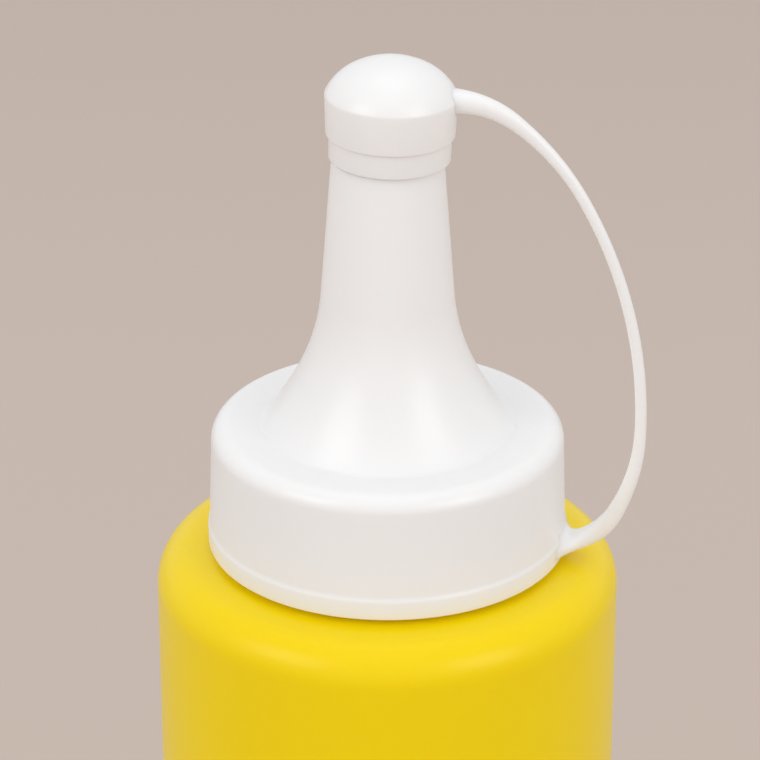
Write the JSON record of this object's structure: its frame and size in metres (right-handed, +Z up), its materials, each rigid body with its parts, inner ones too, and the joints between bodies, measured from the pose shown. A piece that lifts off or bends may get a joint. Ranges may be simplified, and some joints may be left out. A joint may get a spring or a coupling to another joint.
{
  "type": "sauce squeeze bottle",
  "caption": "Round plastic sauce squeeze bottle with a screw collar, a trumpet spout and a domed tip cap held by a thin strap.",
  "frame": {"origin": "centre of the ring that the bottle stands on, on the bottle's axis", "axes": "+Z up along the bottle's axis; the strap is on the +X side, 9 degrees round towards -Y; the front is towards -Y"},
  "size_m": [0.0569, 0.0542, 0.1891],
  "materials": {
    "yellow_plastic": "blow-moulded polyethylene, satin",
    "white_plastic": "injection-moulded polyethylene, satin"
  },
  "bodies": {
    "root": {"bottle": "yellow_plastic", "closure": "white_plastic"}
  },
  "joints": []
}
